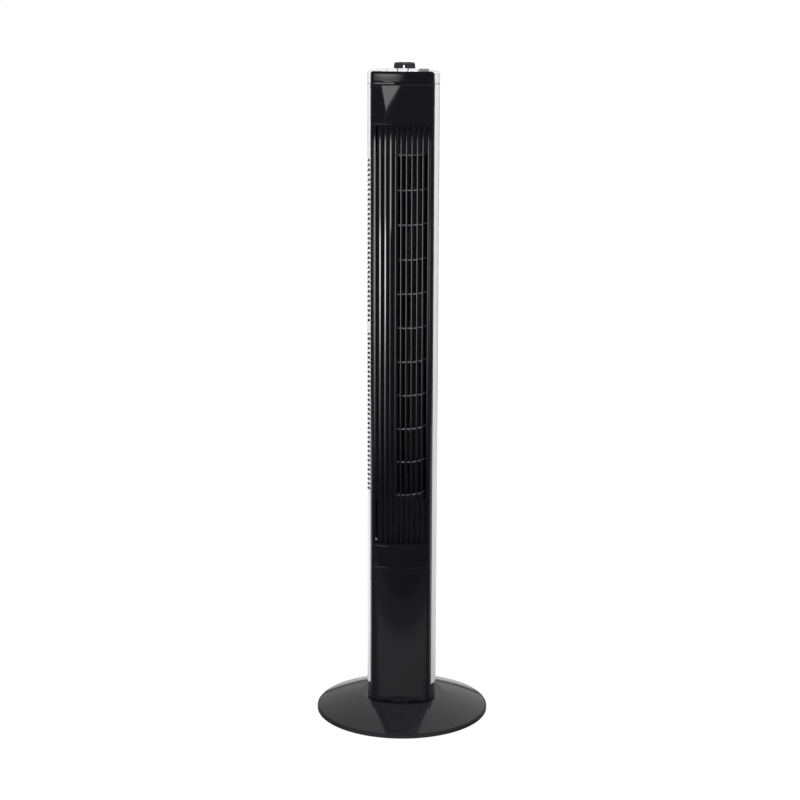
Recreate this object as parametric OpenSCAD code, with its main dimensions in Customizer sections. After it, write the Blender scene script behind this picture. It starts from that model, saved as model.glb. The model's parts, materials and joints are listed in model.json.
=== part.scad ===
// Oscillating tower fan: a cross-flow fan column that swings on a round domed base.
// Millimetres, +Z up. The origin is on the floor, at the middle of the base, and the
// air outlet faces -Y. Everything that swings is built in the straight-ahead position.

/* [Column] */
// Height from the floor to the top of the timer knob
overall_h = 1170; // [1168:1:1180]
// Width of the silver rear housing
body_w = 123; // [122:0.5:124]
// Thickness of the housing and panel walls
wall = 2.5; // [2.2:0.1:2.8]
// Gap left between neighbouring parts that don't move against each other
gap = 0.2; // [0.15:0.05:0.25]

/* [Base] */
// Diameter of the round base
base_d = 310; // [308:1:316]
// Radius of the sphere that the top of the base follows
dome_r = 410; // [405:1:425]
// Diameter of the steel ballast ring
ballast_d = 252; // [240:1:254]

/* [Outlet grille] */
// Number of upright louvre bars
bar_count = 11; // [9:2:11]
// Width of one louvre bar
bar_w = 3.2; // [2.6:0.1:3.4]

/* [Inlet slots] */
// Slots in each of the two banks
slot_count = 34; // [25:1:34]
// Height of one slot
slot_h = 4.4; // [3.6:0.1:4.6]

/* [Impeller] */
// Outer radius of the cross-flow impeller
wheel_r = 38; // [36:0.5:38.5]
// Number of blades round the wheel
blade_count = 28; // [20:1:30]
// Number of stages along the wheel
stage_count = 10; // [8:1:10]

/* [Controls] */
// How far a key travels when it is pressed
key_travel = 4; // [3:0.5:4.5]
// Diameter of the timer knob
knob_d = 38; // [36:0.5:39]

/* [Hidden] */
$fn = 96;

// Colours
black_gloss = "#101012";
black_satin = "#1c1c1f";
silver = "#c9cacc";
steel = "#9a9da1";
rubber = "#17171a";
copper = "#b5703a";
dark_grey = "#45464a";
nylon = "#e6e4dc";

// Heights of the levels up the column
deck_z = overall_h - 13;
cap_z = deck_z - 19.5;
grille_top_z = cap_z - 68.5;
grille_bottom_z = 327;
band_bottom_z = 287;
panel_bottom_z = 40.5;
front_bottom_z = 32.6;
housing_bottom_z = 63;
skirt_bottom_z = 32.6;
cap_seam = 0.8;
skirt_inset = 1;
skirt_wall = 1.5;

// How far neighbouring pieces of one part run into each other
bite = 0.4;
// Step where an arc runs on into the wall beside it, and how far it runs on
lap = 0.02;
lap_angle = 2;

// Plan of the column: a half round back, short straight sides and rounded front corners
body_r = body_w / 2;
side_y = -24;
corner_r = 26;
corner_x = body_r - corner_r;
housing_front_y = -41.5;

// Plan of the black front: a wide arc with a small round corner at each end
front_y = -62;
front_r = 125;
front_half_w = 53.75;
front_corner_r = 9;
front_centre_y = front_y + front_r;
front_corner_x = front_half_w - front_corner_r;
front_corner_y = front_centre_y
               - sqrt(pow(front_r - front_corner_r, 2) - pow(front_corner_x, 2));
front_angle = asin(front_corner_x / (front_r - front_corner_r));
frame_wall = 3;
opening_half_w = 48.4;
tongue_back_y = -34;
tongue_in_x = front_half_w - 5.5;
tongue_out_x = front_half_w - 2.95;
plate_front_y = -46;

// Base
rim_r = base_d / 2;
rim_bottom_z = 2;
rim_top_z = 8.4;
dome_apex_z = 38.5;
dome_edge_r = rim_r - 2.8;
dome_wall = 2.8;
ramp_back_y = -64;
ramp_back_z = 30.2;
ramp_front_y = -dome_edge_r + 3.5;
ramp_front_z = 8.5;
foot_ring_r = 136;
foot_count = 6;
ballast_r = ballast_d / 2;
ballast_bore_r = 66;
ballast_z = 7;
ballast_h = 4;
ballast_screw_r = 100;
seat_r = 60;
seat_z = 30;
seat_in_r = 46;
recess_r = 73;
recess_z = 31.4;

// Swivel
plate_r = 58.4;
plate_top_z = 34.2;
plate_bottom_z = seat_z + 0.1;
spindle_r = 12.5;
spindle_bore_r = 9;
spindle_top_z = 58;
glide_in_r = 55.7;
glide_out_r = 58;
glide_h = 1.6;
floor_z = 41.2;
floor_h = 3;
collar_top_z = 51;
plate_screw_r = 51.5;

// Swing drive: a crank on the column turns in a radial slot in the fixed plate
crank_y = 34;
crank_throw = 17;
roller_r = 3.5;
crank_slack = 1.6;
sync_z = 61;

// Air duct and impeller
wheel_x = 2;
wheel_y = 8;
disc_half = 0.8;
stage_h = 602.5 / stage_count;
wheel_bottom_z = 412.8;
wheel_top_z = wheel_bottom_z + stage_h * stage_count;
duct_bottom_z = 410;
duct_top_z = 1018;
duct_plate_h = 3;
blank_front_y = -41;
scroll_x = 4.5;
scroll_y = 3.5;
scroll_r = 46.5;

// Motor, under the duct and in line with the impeller
motor_shaft_r = 4;
rotor_r = 20;
stator_z = 352;
stator_h = 28;
bell_r = 33;
bell_h = 17;
motor_bolt_r = 36;

// Inlet slots
slot_pitch = 8.43;
upper_bank_z = 727.3;
lower_bank_z = 424.5;

// Controls
trim_top_r = 4.5;
trim_top_z = deck_z + 1.5;
key_pitch = 17.8;
key_w = 16.2;
key_y = -36;
key_len = 19.6;
key_top_z = deck_z + 5;
key_skirt_z = deck_z - 11;
stem_bottom_z = deck_z - 35;
switch_top_z = deck_z - 30;
switch_bottom_z = deck_z - 57;
knob_y = 12;
timer_shaft_r = 3;
wire_x = 55.2;
wire_y = 12;

// ---------------------------------------------------------------- shared shapes

// A slice of an upright round wall: outer radius r, from angle a0 to a1, z0 to z1
module arc_wall(centre, r, thick, a0, a1, z0, z1)
    translate([centre[0], centre[1], z0])
        rotate([0, 0, a0])
            rotate_extrude(angle = a1 - a0)
                translate([r - thick, 0])
                    square([thick, z1 - z0]);

// A box given by its lowest and highest corners
module block(low, high)
    translate(low)
        cube(high - low);

// An upright cylinder at [x, y], from z0 to z1
module post(at, r, z0, z1)
    translate([at[0], at[1], z0])
        cylinder(r = r, h = z1 - z0);

module tube(at, r_out, r_in, z0, z1)
    difference() {
        post(at, r_out, z0, z1);
        post(at, r_in, z0 - 1, z1 + 1);
    }

// The children between two heights, with their ends cut flat in one go
module trimmed(z0, z1)
    intersection() {
        children();
        block([-90, -90, z0], [90, 90, z1]);
    }

// The children, and their mirror image across the YZ plane
module both_sides() {
    children();
    mirror([1, 0, 0])
        children();
}

// The wall of the column behind its front panel, inset from the outer skin
module column_wall(inset, thick, z0, z1, y_front) {
    r = corner_r - inset;
    intersection() {
        union() {
            arc_wall([0, 0], body_r - inset, thick, 0, 180, z0, z1 + 1);
            both_sides() {
                block([body_r - inset - thick, side_y, z0], [body_r - inset, 0, z1 + 1]);
                arc_wall([corner_x, side_y], r - lap, thick - 2 * lap,
                         asin((y_front - side_y) / (r - thick)) - 3, lap_angle,
                         z0, z1 + 1);
            }
        }
        block([-90, y_front, z0], [90, 90, z1]);
    }
}

// A flat plate that fills the plan of the column, up to a straight front edge
module column_plate(inset, z0, z1, y_front) {
    r = corner_r - inset;
    trimmed(z0, z1)
        difference() {
            union() {
                post([0, 0], body_r - inset, z0 - 1, z1 + 1);
                block([inset - body_r, side_y, z0 - 1], [body_r - inset, 0, z1 + 1]);
                block([-corner_x, side_y - r, z0 - 1], [corner_x, side_y + bite, z1 + 1]);
                both_sides()
                    post([corner_x, side_y], r - lap, z0 - 1, z1 + 1);
            }
            block([-body_r, -90, z0 - 2], [body_r, y_front, z1 + 2]);
        }
}

// The skin of the black front between two angles either side of straight ahead
module front_arc(inset, thick, half_angle, z0, z1)
    arc_wall([0, front_centre_y], front_r - inset, thick,
             270 - half_angle, 270 + half_angle, z0, z1);

// The whole black front skin: the wide arc, its two round corners and its side returns
module front_skin(z0, z1)
    trimmed(z0, z1) {
        front_arc(0, frame_wall, front_angle, z0, z1 + 1);
        both_sides() {
            arc_wall([front_corner_x, front_corner_y], front_corner_r - lap,
                     frame_wall - 2 * lap, front_angle - 90 - lap_angle, lap_angle,
                     z0, z1 + 1);
            block([front_half_w - frame_wall, front_corner_y, z0],
                  [front_half_w, housing_front_y - gap, z1 + 1]);
        }
    }

// A point on a unit circle
function unit(a) = [cos(a), sin(a)];

// Catmull-Rom curve through a list of points, with n steps between neighbours
function spline_point(a, b, c, d, t) =
    0.5 * (2 * b + (c - a) * t + (2 * a - 5 * b + 4 * c - d) * t * t
           + (3 * b - a - 3 * c + d) * t * t * t);
function smooth_path(p, n) =
    let (last = len(p) - 1)
    concat([for (i = [0 : last - 1], k = [0 : n - 1])
               spline_point(p[max(i - 1, 0)], p[i], p[i + 1], p[min(i + 2, last)], k / n)],
           [p[last]]);

// Sideways directions carried along a path without twisting
function direction(p, i) =
    let (d = p[min(i + 1, len(p) - 1)] - p[max(i - 1, 0)])
    d / norm(d);
function across(v, d) =
    let (w = v - (v * d) * d)
    w / norm(w);
function carried(p, i, v) =
    i >= len(p) ? [] : let (w = across(v, direction(p, i))) concat([w], carried(p, i + 1, w));

// A round tube along a path
module sweep(p, r, sides, start) {
    n = len(p);
    normals = carried(p, 0, start);
    points = [for (i = [0 : n - 1], k = [0 : sides - 1])
                 let (u = normals[i], v = cross(direction(p, i), u), a = 360 * k / sides)
                 p[i] + r * (cos(a) * u + sin(a) * v)];
    ring = [for (k = [0 : sides - 1]) k];
    faces = concat([ring],
                   [[for (k = ring) n * sides - 1 - k]],
                   [for (i = [0 : n - 2], k = ring)
                       let (a = i * sides + k, b = i * sides + (k + 1) % sides)
                       [a, a + sides, b + sides, b]]);
    polyhedron(points, faces);
}

// ---------------------------------------------------------------- base

module dome_ball(inset)
    translate([0, 0, dome_apex_z - dome_r])
        sphere(r = dome_r - inset);

function dome_z(r, inset) =
    dome_apex_z - dome_r + sqrt(pow(dome_r - inset, 2) - r * r);

// The run of sunk floor in front of the column, widened by a margin
module ramp_prism(margin)
    linear_extrude(height = 60)
        polygon([[-63 - margin, 0], [63 + margin, 0],
                 [16.5 + margin, ramp_front_y], [-16.5 - margin, ramp_front_y]]);

// All that lies under the flat floor of that run, or under a level a little lower
module below_ramp(drop) {
    slope = (ramp_back_z - ramp_front_z) / (ramp_back_y - ramp_front_y);
    rotate([90, 0, 90])
        translate([0, 0, -80])
            linear_extrude(height = 160)
                polygon([for (y = [-200, 10]) [y, ramp_back_z + slope * (y - ramp_back_y) - drop],
                         [10, -60], [-200, -60]]);
}

module rim_section()
    polygon([[dome_edge_r - 2.6, rim_bottom_z], [rim_r - 0.6, rim_bottom_z],
             [rim_r, rim_bottom_z + 0.6], [rim_r, rim_top_z - 1.1],
             [rim_r - 0.35, rim_top_z - 0.35], [rim_r - 1.1, rim_top_z],
             [rim_r - 1.7, rim_top_z - 0.2], [rim_r - 2.1, rim_top_z - 0.9],
             [dome_edge_r + 0.2, rim_top_z - 1.1], [dome_edge_r - 2.6, rim_top_z - 1.1]]);

// Positions of the feet or screws of one half, from the +X end round the back
function half_angles() = [30, 90, 150];

// The rear half as it leaves the mould. The front half is the same with its ramp.
module base_half() {
    difference() {
        union() {
            intersection() {
                difference() {
                    dome_ball(0);
                    dome_ball(dome_wall);
                }
                rotate_extrude(angle = 180)
                    translate([0, rim_bottom_z])
                        square([dome_edge_r, 40]);
            }
            // Thick ring under the seat of the pivot plate, and its screw bosses
            intersection() {
                arc_wall([0, 0], recess_r + 3, recess_r + 3 - seat_in_r, 0, 180, seat_z - 3, 60);
                dome_ball(1);
            }
            for (a = [45, 135])
                post(plate_screw_r * unit(a), 5, seat_z - 11, seat_z - 2);
        }
        // Recess that the foot of the column turns in
        post([0, 0], recess_r, recess_z, 60);
        post([0, 0], seat_r, seat_z, 60);
        for (a = [45, 135])
            post(plate_screw_r * unit(a), 1.9, seat_z - 20, seat_z + 1);
    }
    rotate_extrude(angle = 180)
        rim_section();
    // Bosses that take the feet and the ballast screws
    intersection() {
        dome_ball(dome_wall / 2);
        difference() {
            for (a = half_angles()) {
                post(foot_ring_r * unit(a), 9, 3.5, 40);
                post(ballast_screw_r * unit(a), 6, ballast_z + ballast_h, 40);
            }
            for (a = half_angles()) {
                post(foot_ring_r * unit(a), 3, 0, 8.2);
                post(ballast_screw_r * unit(a), 1.9, 0, 19);
            }
        }
    }
}

module base_rear()
    color(black_gloss)
        intersection() {
            base_half();
            block([-200, 0.1, 0], [200, 200, 60]);
        }

module base_front()
    color(black_gloss)
        intersection() {
            difference() {
                union() {
                    rotate([0, 0, 180])
                        base_half();
                    // Thick bed that the sunk run is cut into
                    intersection() {
                        dome_ball(0.6);
                        difference() {
                            ramp_prism(wall);
                            below_ramp(dome_wall);
                            post([0, 0], seat_r + 3.6, 0, 60);
                            post([0, 0], recess_r, recess_z, 60);
                            for (a = half_angles())
                                post(ballast_screw_r * unit(-a), 1.9, 0, 19);
                        }
                    }
                }
                difference() {
                    ramp_prism(0);
                    below_ramp(0);
                    post([0, 0], seat_r + 4, 0, 60);
                }
            }
            block([-200, -200, 0], [200, -0.1, 60]);
        }

module base_weight()
    color(steel)
        difference() {
            tube([0, 0], ballast_r, ballast_bore_r, ballast_z, ballast_z + ballast_h);
            for (k = [0 : foot_count - 1])
                post(ballast_screw_r * unit(30 + 60 * k), 2.2, 0, 20);
        }

// A pan-head screw that points up, with the underside of its head at z
module screw_up(at, head_r, head_h, shank_r, z, length) {
    post(at, head_r, z - head_h, z);
    post(at, shank_r, z - 0.5, z + length);
}

module base_screws()
    color(steel)
        for (k = [0 : foot_count - 1])
            screw_up(ballast_screw_r * unit(30 + 60 * k), 4.2, 2.4, 1.8,
                     ballast_z, ballast_h + 7);

module rubber_feet()
    color(rubber)
        for (k = [0 : foot_count - 1])
            translate([foot_ring_r * cos(30 + 60 * k), foot_ring_r * sin(30 + 60 * k), 0]) {
                cylinder(r1 = 7.4, r2 = 8, h = 1);
                translate([0, 0, 1])
                    cylinder(r = 8, h = 2.45);
                cylinder(r = 2.9, h = 7.6);
            }

// ---------------------------------------------------------------- swivel

module pivot_plate()
    color(black_satin)
        difference() {
            post([0, 0], plate_r, plate_bottom_z, plate_top_z);
            post([0, 0], spindle_r + 0.1, 0, 60);
            // Slot that the crank's roller runs in
            block([-roller_r - crank_slack, crank_y - crank_throw, 0],
                  [roller_r + crank_slack, crank_y + crank_throw, 60]);
            for (s = [-1, 1])
                post([0, crank_y + s * crank_throw], roller_r + crank_slack, 0, 60);
            for (a = [45 : 90 : 315]) {
                post(plate_screw_r * unit(a), 2.1, 0, 60);
                post(plate_screw_r * unit(a), 3.8, plate_top_z - 2.1, 60);
            }
        }

module pivot_screws()
    color(steel)
        for (a = [45 : 90 : 315]) {
            post(plate_screw_r * unit(a), 3.6, plate_top_z - 2.1, plate_top_z - 0.2);
            post(plate_screw_r * unit(a), 1.8, plate_top_z - 14, plate_top_z - 2);
        }

module pivot_spindle()
    color(steel)
        difference() {
            union() {
                post([0, 0], spindle_r, plate_bottom_z - 4, spindle_top_z);
                post([0, 0], 20, plate_bottom_z - 3.6, plate_bottom_z);
            }
            post([0, 0], spindle_bore_r, 0, 100);
        }

module spindle_washer()
    color(steel)
        tube([0, 0], 19, spindle_r + 0.1, collar_top_z + 0.1, collar_top_z + 1.3);

module spindle_nut()
    color(steel)
        difference() {
            translate([0, 0, collar_top_z + 1.3])
                cylinder(r = 18.5, h = 5.5, $fn = 6);
            post([0, 0], spindle_r + 0.1, 0, 100);
        }

module glide_ring()
    color(black_satin)
        tube([0, 0], glide_out_r, glide_in_r, plate_top_z, plate_top_z + glide_h);

// ---------------------------------------------------------------- column shell

module body_floor()
    color(black_satin)
        difference() {
            union() {
                column_plate(skirt_inset + skirt_wall + gap, floor_z, floor_z + floor_h,
                             plate_front_y);
                tube([0, 0], glide_out_r, glide_in_r, plate_top_z + glide_h + 0.1,
                     floor_z + bite);
                post([0, 0], 18, floor_z, collar_top_z);
                // Pillars that carry the swing motor
                for (s = [-1, 1])
                    post([s * 27, crank_y], 3.5, floor_z, sync_z);
            }
            post([0, 0], spindle_r + 0.08, 0, 100);
            tongue_notches(0, 100);
            post([0, crank_y], 5.5, 0, floor_z + floor_h + 1);
            for (s = [-1, 1])
                post([s * 27, crank_y], 1.4, floor_z + floor_h + 2, sync_z + 1);
        }

module foot_skirt()
    color(black_satin)
        column_wall(skirt_inset, skirt_wall, skirt_bottom_z, housing_bottom_z - gap,
                    housing_front_y);

// Bosses for the screws that hold the front frame and the rear housing together
screw_levels = [75, 310, 1088];
screw_x = 46;
boss_back_y = 14;

// Room for the tongues of the front frame in a plate that fills the column
module tongue_notches(z0, z1)
    both_sides()
        block([tongue_in_x - gap, -60, z0], [80, tongue_back_y + gap, z1]);

module along_y(at, r, y0, y1)
    translate([at[0], y1, at[1]])
        rotate([90, 0, 0])
            cylinder(r = r, h = y1 - y0);

module front_frame()
    color(black_gloss) {
        difference() {
            front_skin(front_bottom_z, cap_z - cap_seam);
            block([-opening_half_w, -80, panel_bottom_z],
                  [opening_half_w, -40, grille_top_z]);
        }
        both_sides() {
            // Tongue that slides inside the rear housing
            block([tongue_in_x, front_corner_y - 2, front_bottom_z],
                  [tongue_out_x, tongue_back_y, cap_z - cap_seam]);
            // Ledge behind the edges of the lower panel and the band
            block([43, -49, panel_bottom_z - 4], [50.5, -47, grille_bottom_z]);
            difference() {
                for (z = screw_levels)
                    along_y([screw_x, z], 4, front_corner_y, boss_back_y);
                for (z = screw_levels)
                    along_y([screw_x, z], 1.5, boss_back_y - 16, boss_back_y + 1);
            }
        }
    }

function front_skin_y(x) = front_centre_y - sqrt(front_r * front_r - x * x);

// Plan of one louvre bar: a flat nose between two bevels, and a slightly tapered blade
module bar_section(x) {
    half = bar_w / 2;
    flat = half - 0.85;
    turn = flat * x / sqrt(front_r * front_r - x * x);
    polygon([[-half, 0.35 - turn - half], [-flat, -turn - half], [flat, turn - half],
             [half, 0.35 + turn - half], [half - 0.45, 9.4], [0.45 - half, 9.4]]);
}

module outlet_grille() {
    z0 = grille_bottom_z + gap;
    z1 = grille_top_z - gap;
    rail = 3.4;
    color(black_gloss)
        trimmed(z0, z1) {
            for (k = [0 : bar_count - 1]) {
                x = (k - (bar_count - 1) / 2) * 92.4 / (bar_count - 1);
                translate([x, front_skin_y(x) + 0.8 + bar_w / 2, z0 - 1])
                    linear_extrude(height = z1 - z0 + 2)
                        bar_section(x);
            }
            front_arc(1.6, 9, asin(47.9 / front_r), z0 - 2, z0 + rail);
            front_arc(1.6, 9, asin(47.9 / front_r), z1 - rail, z1 + 2);
        }
}

module grille_band()
    color(black_gloss)
        front_arc(0.3, frame_wall - 0.4, asin(48.2 / front_r),
                  band_bottom_z + gap, grille_bottom_z - gap);

module lower_panel()
    color(black_satin)
        front_arc(0, frame_wall - 0.1, asin(48.2 / front_r),
                  panel_bottom_z + gap, band_bottom_z - gap);

// Plan of the slots: they open the left side and most of the back, between upright ribs
slot_edges = [180, 150, 120, 92, 64];
rib_half = 2.1;
slot_front_y = -40.3;

module slot_section() {
    deg = 180 / PI / body_r;
    translate([-body_r - 2, slot_front_y])
        square([12, -slot_front_y - rib_half]);
    for (k = [0 : len(slot_edges) - 2]) {
        a0 = slot_edges[k + 1] + rib_half * deg;
        a1 = slot_edges[k] - rib_half * deg;
        polygon([body_r * 0.9 * unit(a0), body_r * 1.1 * unit(a0),
                 body_r * 1.1 * unit((a0 + a1) / 2),
                 body_r * 1.1 * unit(a1), body_r * 0.9 * unit(a1),
                 body_r * 0.9 * unit((a0 + a1) / 2)]);
    }
}

gland_z = 95;

module rear_housing()
    color(silver) {
        difference() {
            union() {
                column_wall(0, wall, housing_bottom_z, cap_z - cap_seam, housing_front_y);
                // Screw tubes that meet the bosses of the front frame
                intersection() {
                    both_sides()
                        for (z = screw_levels)
                            along_y([screw_x, z], 4.5, boss_back_y + gap, 50);
                    post([0, 0], body_r - 1, 0, 2000);
                }
            }
            for (bank = [lower_bank_z, upper_bank_z], k = [0 : slot_count - 1])
                translate([0, 0, bank + k * slot_pitch])
                    linear_extrude(height = slot_h)
                        slot_section();
            both_sides()
                for (z = screw_levels) {
                    along_y([screw_x, z], 3.3, boss_back_y + 4, 60);
                    along_y([screw_x, z], 1.8, boss_back_y - 1, 60);
                }
            along_y([0, gland_z], 6.5, 50, 70);
        }
    }

module housing_screws()
    color(steel)
        both_sides()
            for (z = screw_levels) {
                along_y([screw_x, z], 3, boss_back_y + 4, boss_back_y + 6.4);
                along_y([screw_x, z], 1.4, boss_back_y - 14, boss_back_y + 4.2);
            }

// Strain relief for the mains lead, in the back of the housing
module cable_gland()
    color(rubber)
        translate([0, body_r, gland_z])
            rotate([-90, 0, 0])
                difference() {
                    union() {
                        translate([0, 0, -wall - 3.4])
                            cylinder(r = 8, h = 2.6);
                        translate([0, 0, -wall - 1])
                            cylinder(r = 6.3, h = wall + 2);
                        translate([0, 0, 0.9])
                            cylinder(r = 8.5, h = 2.2);
                        translate([0, 0, 3.1])
                            cylinder(r1 = 6.6, r2 = 5.2, h = 9);
                    }
                    translate([0, 0, -20])
                        cylinder(r = 3.75, h = 50);
                }

// ---------------------------------------------------------------- top and controls

// The plan inside the top trim, short of its round corners
module trim_filling(z0, z1) {
    r = front_corner_r - frame_wall - gap;
    block([-front_corner_x, front_y, z0], [front_corner_x, side_y, z1]);
    both_sides() {
        post([front_corner_x, front_corner_y], r, z0, z1);
        block([front_corner_x - bite, front_corner_y + bite, z0],
              [front_corner_x + r - lap, side_y, z1]);
    }
}

module top_cap()
    color(silver)
    trimmed(cap_z, deck_z) {
        column_wall(0, wall, cap_z, deck_z + 1, housing_front_y);
        difference() {
            intersection() {
                union() {
                    column_plate(0, deck_z - wall, deck_z + 1, housing_front_y);
                    trim_filling(deck_z - wall, deck_z + 1);
                }
                post([0, front_centre_y], front_r - frame_wall - gap, 0, 2000);
            }
            block([-2.5 * key_pitch - 0.3, key_y - key_len / 2 - 0.4, 0],
                  [2.5 * key_pitch + 0.3, key_y + key_len / 2 + 0.4, 2000]);
            post([0, knob_y], timer_shaft_r + 1, 0, 2000);
        }
    }

module top_trim()
    color(black_gloss)
        difference() {
            front_skin(cap_z, trim_top_z);
            // Rounded upper corners, seen from the front
            both_sides()
                translate([front_half_w - trim_top_r, 0, trim_top_z - trim_top_r])
                    rotate([90, 0, 0])
                        difference() {
                            translate([0, 0, 30])
                                cube([9, 9, 50]);
                            cylinder(r = trim_top_r, h = 90);
                        }
        }

// Side view of a key: a shallow dished top with a rounded front edge
module key_section(y0, y1, z0, z1)
    polygon([[y0, z0], [y1, z0], [y1, z1 - 1], [y1 - 1, z1],
             [y1 - 5, z1 - 0.2], [y1 - 10, z1 - 0.9], [y0 + 4, z1 - 1.5],
             [y0 + 1.4, z1 - 1.9], [y0 + 0.5, z1 - 2.5], [y0, z1 - 3.6]]);

function key_x(slot) = (slot - 2) * key_pitch;

module key(slot, paint)
    color(paint)
        translate([key_x(slot), 0, 0]) {
            translate([-key_w / 2, 0, 0])
                rotate([90, 0, 90])
                    linear_extrude(height = key_w)
                        key_section(key_y - key_len / 2, key_y + key_len / 2,
                                    key_skirt_z, key_top_z);
            block([-2.5, key_y - 2, stem_bottom_z], [2.5, key_y + 2, key_skirt_z + 0.5]);
        }

spring_r = 4.6;
spring_turns = 6;

module key_spring(slot)
    color(steel) {
        z0 = switch_top_z + 0.5;
        rise = key_skirt_z - 0.5 - z0;
        steps = spring_turns * 12;
        sweep([for (k = [0 : steps])
                  let (a = 360 * spring_turns * k / steps)
                  [key_x(slot) + spring_r * cos(a), key_y + spring_r * sin(a),
                   z0 + rise * k / steps]],
              0.4, 6, [0, 0, 1]);
    }

module switch_unit()
    color(dark_grey)
        difference() {
            block([-45, key_y - 11, switch_bottom_z], [45, key_y + 11, switch_top_z]);
            for (slot = [0 : 4])
                block([key_x(slot) - 2.8, key_y - 2.3, stem_bottom_z - key_travel - 2],
                      [key_x(slot) + 2.8, key_y + 2.3, switch_top_z + 1]);
        }

timer_top_z = deck_z - 9;
timer_bottom_z = deck_z - 42;

module timer_unit()
    color(dark_grey)
        difference() {
            union() {
                block([-22, knob_y - 22, timer_bottom_z], [22, knob_y + 22, timer_top_z - 3]);
                post([0, knob_y], 8, timer_top_z - 3.5, timer_top_z);
            }
            post([0, knob_y], timer_shaft_r + 0.08, timer_top_z - 18, deck_z);
        }

module control_bracket()
    color(steel) {
        z = switch_bottom_z;
        block([-47, key_y - 11, z - 2], [47, knob_y + 22, z]);
        // Cradle under the timer
        both_sides()
            block([18, knob_y - 20, z - 0.5], [20, knob_y + 20, timer_bottom_z]);
        // Posts up to the deck
        both_sides()
            post([40, 30], 3.5, z - 0.5, deck_z - wall);
    }

module timer_knob()
    color(black_satin)
        translate([0, knob_y, deck_z + 0.8])
            difference() {
                r = knob_d / 2;
                union() {
                    rotate_extrude()
                        polygon([[0, 0], [r, 0], [r, 1.4], [r - 0.5, 3], [r - 0.9, 9.4],
                                 [r - 1.6, 11.2], [r - 3, 12.2], [r - 5, 12.2],
                                 [r - 6.5, 10.6], [0, 10.2]]);
                    translate([-3.2, 4 - r, 6])
                        cube([6.4, knob_d - 8, 6.2]);
                }
                translate([0, 0, -1])
                    cylinder(r = timer_shaft_r + 0.05, h = 9);
                // Pocket for the pointer, in the side
                block([-1.35, -r - 1, 1.95], [1.35, 3.1 - r, 8.55]);
                for (k = [1 : 22])
                    rotate([0, 0, 15 * k - 82.5])
                        translate([r - 0.15, 0, 2.6])
                            cylinder(r = 1.1, h = 12);
            }

module knob_pointer()
    color("white")
        translate([0, knob_y, deck_z + 0.8]) {
            r = knob_d / 2;
            block([-1.3, 0.3 - r, 2], [1.3, 3 - r, 8.5]);
        }

module timer_shaft()
    color(steel)
        post([0, knob_y], timer_shaft_r, timer_top_z - 17, deck_z + 8.4);

// ---------------------------------------------------------------- duct and impeller

module duct_plate(z)
    difference() {
        column_plate(wall + gap, z, z + duct_plate_h, blank_front_y);
        post([wire_x, wire_y], 2.8, z - 1, z + 9);
        tongue_notches(z - 1, z + 9);
    }

// Blank wall behind the part of the grille that has no duct behind it
module blank_wall(z0, z1)
    block([-43, blank_front_y, z0], [43, blank_front_y + 2, z1]);

module upper_duct_plate()
    color(black_satin)
        difference() {
            union() {
                duct_plate(duct_top_z);
                blank_wall(duct_top_z + 1, grille_top_z + 3);
            }
            post([wheel_x, wheel_y], 14, 0, 2000);
        }

module lower_duct_plate()
    color(black_satin)
        difference() {
            union() {
                duct_plate(duct_bottom_z - duct_plate_h);
                blank_wall(grille_bottom_z - 5, duct_bottom_z - 1);
                // Bosses that the motor hangs from
                for (a = [45 : 90 : 315])
                    post([wheel_x, wheel_y] + motor_bolt_r * unit(a), 4.5,
                         stator_z + stator_h, duct_bottom_z - 1);
            }
            post([wheel_x, wheel_y], 14, 0, 2000);
            for (a = [45 : 90 : 315])
                post([wheel_x, wheel_y] + motor_bolt_r * unit(a), 1.9,
                     stator_z, duct_bottom_z - 6);
        }

module bearing_mount()
    color(rubber)
        difference() {
            union() {
                post([wheel_x, wheel_y], 13.9, duct_top_z - 0.3, duct_top_z + duct_plate_h + 2);
                post([wheel_x, wheel_y], 17, duct_top_z + duct_plate_h,
                     duct_top_z + duct_plate_h + 2);
            }
            post([wheel_x, wheel_y], 6.5, 0, 2000);
        }

module bearing_bush()
    color("#b08d57")
        tube([wheel_x, wheel_y], 6.4, 4.06, duct_top_z, duct_top_z + 8);

// A wall between two points in plan, with round ends
module leaf(a, b, thick) {
    d = b - a;
    translate(a)
        rotate(atan2(d[1], d[0]))
            translate([0, -thick / 2])
                square([norm(d), thick]);
    for (p = [a, b])
        translate(p)
            circle(r = thick / 2);
}

// Outer guide of the air, from behind the impeller round to the outlet's right edge
module scroll_wall()
    color(black_satin) {
        z0 = duct_bottom_z;
        z1 = duct_top_z;
        arc_wall([scroll_x, scroll_y], scroll_r + 2, 2, 0, 100, z0, z1);
        block([scroll_x + scroll_r, -33, z0], [scroll_x + scroll_r + 2, scroll_y, z1]);
    }

// Inner guide: closes the left of the outlet and ends in a lip close to the impeller
module vortex_wall()
    color(black_satin) {
        lip = [wheel_x, wheel_y] + (wheel_r + 3.6) * unit(232);
        translate([0, 0, duct_bottom_z])
            linear_extrude(height = duct_top_z - duct_bottom_z) {
                leaf([-46, -39.4], [-8, -47.6], 2);
                leaf([-8, -47.6], lip, 2);
                leaf(lip, [-55, -31], 2);
            }
    }

// Plan of one forward-curved blade
module blade_section() {
    r0 = wheel_r - 8.5;
    r1 = wheel_r - 0.3;
    steps = 4;
    function mid(k) = let (t = k / steps) (r0 + (r1 - r0) * t) * unit(15 * pow(t, 1.6));
    function side(k) = let (d = mid(min(k + 1, steps)) - mid(max(k - 1, 0)))
        0.55 * [-d[1], d[0]] / norm(d);
    polygon(concat([for (k = [0 : steps]) mid(k) + side(k)],
                   [for (k = [steps : -1 : 0]) mid(k) - side(k)]));
}

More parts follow.
